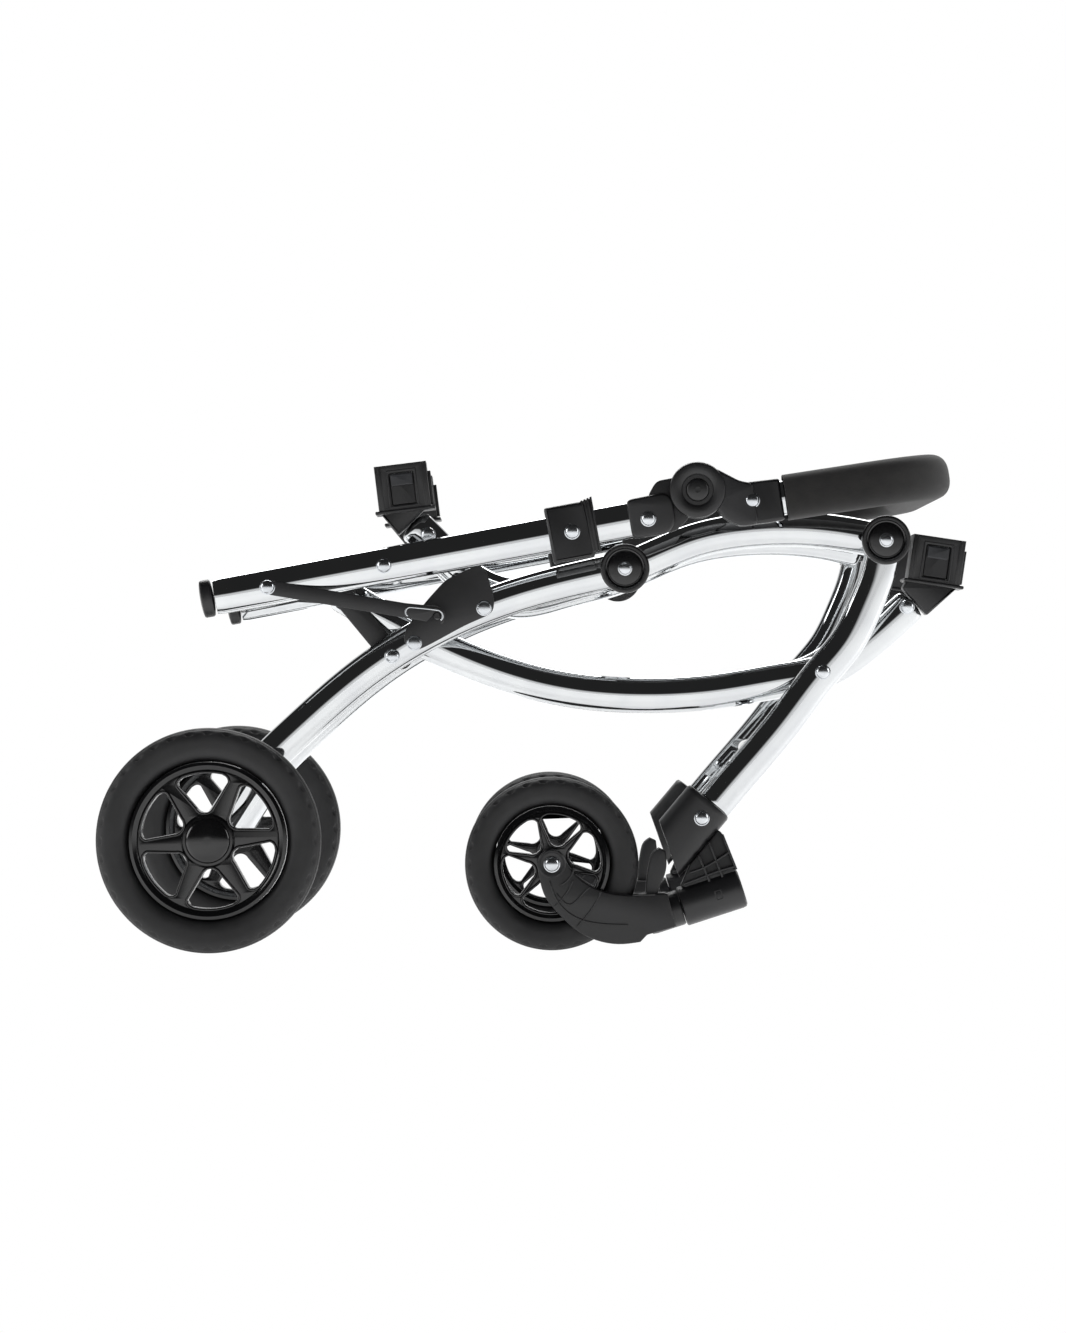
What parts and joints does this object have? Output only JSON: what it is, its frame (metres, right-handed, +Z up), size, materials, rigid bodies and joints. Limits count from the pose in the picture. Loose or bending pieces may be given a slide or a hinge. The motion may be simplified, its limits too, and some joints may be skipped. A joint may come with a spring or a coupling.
{
  "type": "folding pet stroller chassis",
  "caption": "Folding pet stroller frame, folded flat, with swivel front wheels, foam push handle and four corner sockets for a cabin.",
  "frame": {"origin": "on the floor under the middle of the folded frame's box", "axes": "+X towards the swivel wheels' sockets, -Y to the stroller's right side, +Z up; the wheels stand on Z = 0"},
  "size_m": [0.776, 0.5292, 0.4449],
  "materials": {
    "polished_tube": "polished bright metal, mirror-like",
    "bright_steel": "bright zinc-plated steel",
    "black_plastic": "satin moulded black plastic",
    "gloss_black": "glossy moulded black plastic",
    "tyre_foam": "matte black solid tyre",
    "grip_foam": "matte black foam",
    "grey_button": "grey moulded plastic"
  },
  "bodies": {
    "upper_frame": {"upper_support_right": "polished_tube", "rear_socket_right": "black_plastic", "rear_pivot_cap_right": "black_plastic", "front_pivot_cap_right": "black_plastic", "upper_support_left": "polished_tube", "rear_socket_left": "black_plastic", "rear_pivot_cap_left": "black_plastic", "front_pivot_cap_left": "black_plastic", "upper_cross_tube": "polished_tube"},
    "rear_frame": {"rear_leg_right": "polished_tube", "rear_leg_left": "polished_tube", "rear_axle": "bright_steel", "latch_bracket": "black_plastic"},
    "front_frame": {"front_leg_right": "polished_tube", "swivel_housing_right": "black_plastic", "front_leg_left": "polished_tube", "swivel_housing_left": "black_plastic", "front_cross_tube": "polished_tube"},
    "lower_frame": {"lower_support_right": "polished_tube", "front_socket_right": "black_plastic", "lower_support_left": "polished_tube", "front_socket_left": "black_plastic", "lower_cross_tube": "polished_tube"},
    "handle_frame": {"handle_tube_right": "polished_tube", "handle_end_cap_right": "black_plastic", "handle_sleeve_right": "black_plastic", "handle_joint_lower_right": "black_plastic", "handle_tube_left": "polished_tube", "handle_end_cap_left": "black_plastic", "handle_sleeve_left": "black_plastic", "handle_joint_lower_left": "black_plastic"},
    "handle_top": {"handle_joint_upper_right": "black_plastic", "handle_joint_upper_left": "black_plastic", "handle_bar": "polished_tube", "foam_grip": "grip_foam"},
    "link_bars": {"link_bar_right": "black_plastic", "link_bar_left": "black_plastic"},
    "lock_bar": {"lock_bar": "black_plastic"},
    "rear_wheel_right": {"rear_tyre_right": "tyre_foam", "rear_rim_right": "gloss_black", "rear_hub_cap_right": "gloss_black"},
    "caster_right": {"caster_fork_right": "black_plastic", "front_wheel_bolt_right": "bright_steel"},
    "front_wheel_right": {"front_tyre_right": "tyre_foam", "front_rim_right": "gloss_black"},
    "swivel_lever_right": {"swivel_lock_lever_right": "black_plastic"},
    "rear_button_right": {"rear_socket_button_right": "grey_button"},
    "front_button_right": {"front_socket_button_right": "grey_button"},
    "joint_button_right": {"handle_joint_button_right": "black_plastic"},
    "rear_wheel_left": {"rear_tyre_left": "tyre_foam", "rear_rim_left": "gloss_black", "rear_hub_cap_left": "gloss_black"},
    "caster_left": {"caster_fork_left": "black_plastic", "front_wheel_bolt_left": "bright_steel"},
    "front_wheel_left": {"front_tyre_left": "tyre_foam", "front_rim_left": "gloss_black"},
    "swivel_lever_left": {"swivel_lock_lever_left": "black_plastic"},
    "rear_button_left": {"rear_socket_button_left": "grey_button"},
    "front_button_left": {"front_socket_button_left": "grey_button"},
    "joint_button_left": {"handle_joint_button_left": "black_plastic"}
  },
  "joints": [
    {"name": "fold", "type": "hinge", "parent": "upper_frame", "child": "front_frame", "pos_m": [0.315, 0, 0.3674], "axis": [0, -1, 0], "range_deg": [0, 75]},
    {"name": "handle_fold", "type": "hinge", "parent": "upper_frame", "child": "handle_frame", "pos_m": [-0.1335, 0, 0.344], "axis": [0, -1, 0], "range_deg": [0, 107]},
    {"name": "lower_support_fold", "type": "hinge", "parent": "front_frame", "child": "lower_frame", "pos_m": [0.2585, 0, 0.2495], "axis": [0, -1, 0], "range_deg": [-63, 0]},
    {"name": "rear_leg_fold", "type": "hinge", "parent": "upper_frame", "child": "rear_frame", "pos_m": [0.0814, 0, 0.342], "axis": [0, -1, 0], "range_deg": [0, 24.5]},
    {"name": "link_bar_fold", "type": "hinge", "parent": "lower_frame", "child": "link_bars", "pos_m": [-0.19, 0, 0.34], "axis": [0, -1, 0], "range_deg": [-74, 0]},
    {"name": "handle_tilt", "type": "hinge", "parent": "handle_frame", "child": "handle_top", "pos_m": [0.1454, 0, 0.4111], "axis": [0, -1, 0], "range_deg": [0, 75]},
    {"name": "lock_bar_lift", "type": "hinge", "parent": "handle_frame", "child": "lock_bar", "pos_m": [-0.237, -0.222, 0.3248], "axis": [0, -1, 0], "range_deg": [0, 12]},
    {"name": "rear_wheel_spin_right", "type": "hinge", "parent": "rear_frame", "child": "rear_wheel_right", "pos_m": [-0.288, -0.241, 0.1], "axis": [0, -1, 0], "continuous": true},
    {"name": "caster_swivel_right", "type": "hinge", "parent": "front_frame", "child": "caster_right", "pos_m": [0.1595, -0.182, 0.048], "axis": [0.9511, 0, 0.309], "continuous": true},
    {"name": "front_wheel_spin_right", "type": "hinge", "parent": "caster_right", "child": "front_wheel_right", "pos_m": [0.016, -0.182, 0.078], "axis": [0, -1, 0], "continuous": true},
    {"name": "swivel_lever_tilt_right", "type": "hinge", "parent": "caster_right", "child": "swivel_lever_right", "pos_m": [0.105, -0.182, 0.05], "axis": [0, -1, 0], "range_deg": [0, 8]},
    {"name": "rear_button_push_right", "type": "slide", "parent": "upper_frame", "child": "rear_button_right", "axis": [0, 1, 0], "range_m": [0, 0.003], "stiffness_N_per_m": 600},
    {"name": "front_button_push_right", "type": "slide", "parent": "lower_frame", "child": "front_button_right", "axis": [0, 1, 0], "range_m": [0, 0.003], "stiffness_N_per_m": 600},
    {"name": "joint_button_push_right", "type": "slide", "parent": "handle_top", "child": "joint_button_right", "axis": [0, 1, 0], "range_m": [0, 0.003], "stiffness_N_per_m": 600},
    {"name": "rear_wheel_spin_left", "type": "hinge", "parent": "rear_frame", "child": "rear_wheel_left", "pos_m": [-0.288, 0.241, 0.1], "axis": [0, -1, 0], "continuous": true},
    {"name": "caster_swivel_left", "type": "hinge", "parent": "front_frame", "child": "caster_left", "pos_m": [0.1595, 0.182, 0.048], "axis": [0.9511, 0, 0.309], "continuous": true},
    {"name": "front_wheel_spin_left", "type": "hinge", "parent": "caster_left", "child": "front_wheel_left", "pos_m": [0.016, 0.182, 0.078], "axis": [0, -1, 0], "continuous": true},
    {"name": "swivel_lever_tilt_left", "type": "hinge", "parent": "caster_left", "child": "swivel_lever_left", "pos_m": [0.105, 0.182, 0.05], "axis": [0, -1, 0], "range_deg": [0, 8]},
    {"name": "rear_button_push_left", "type": "slide", "parent": "upper_frame", "child": "rear_button_left", "axis": [0, -1, 0], "range_m": [0, 0.003], "stiffness_N_per_m": 600},
    {"name": "front_button_push_left", "type": "slide", "parent": "lower_frame", "child": "front_button_left", "axis": [0, -1, 0], "range_m": [0, 0.003], "stiffness_N_per_m": 600},
    {"name": "joint_button_push_left", "type": "slide", "parent": "handle_top", "child": "joint_button_left", "axis": [0, -1, 0], "range_m": [0, 0.003], "stiffness_N_per_m": 600}
  ],
  "couplings": [
    {"joint": "handle_fold", "follows": "fold", "ratio": 1.419},
    {"joint": "lower_support_fold", "follows": "fold", "ratio": -0.836},
    {"joint": "rear_leg_fold", "follows": "fold", "ratio": 0.32},
    {"joint": "link_bar_fold", "follows": "fold", "ratio": -0.98}
  ]
}
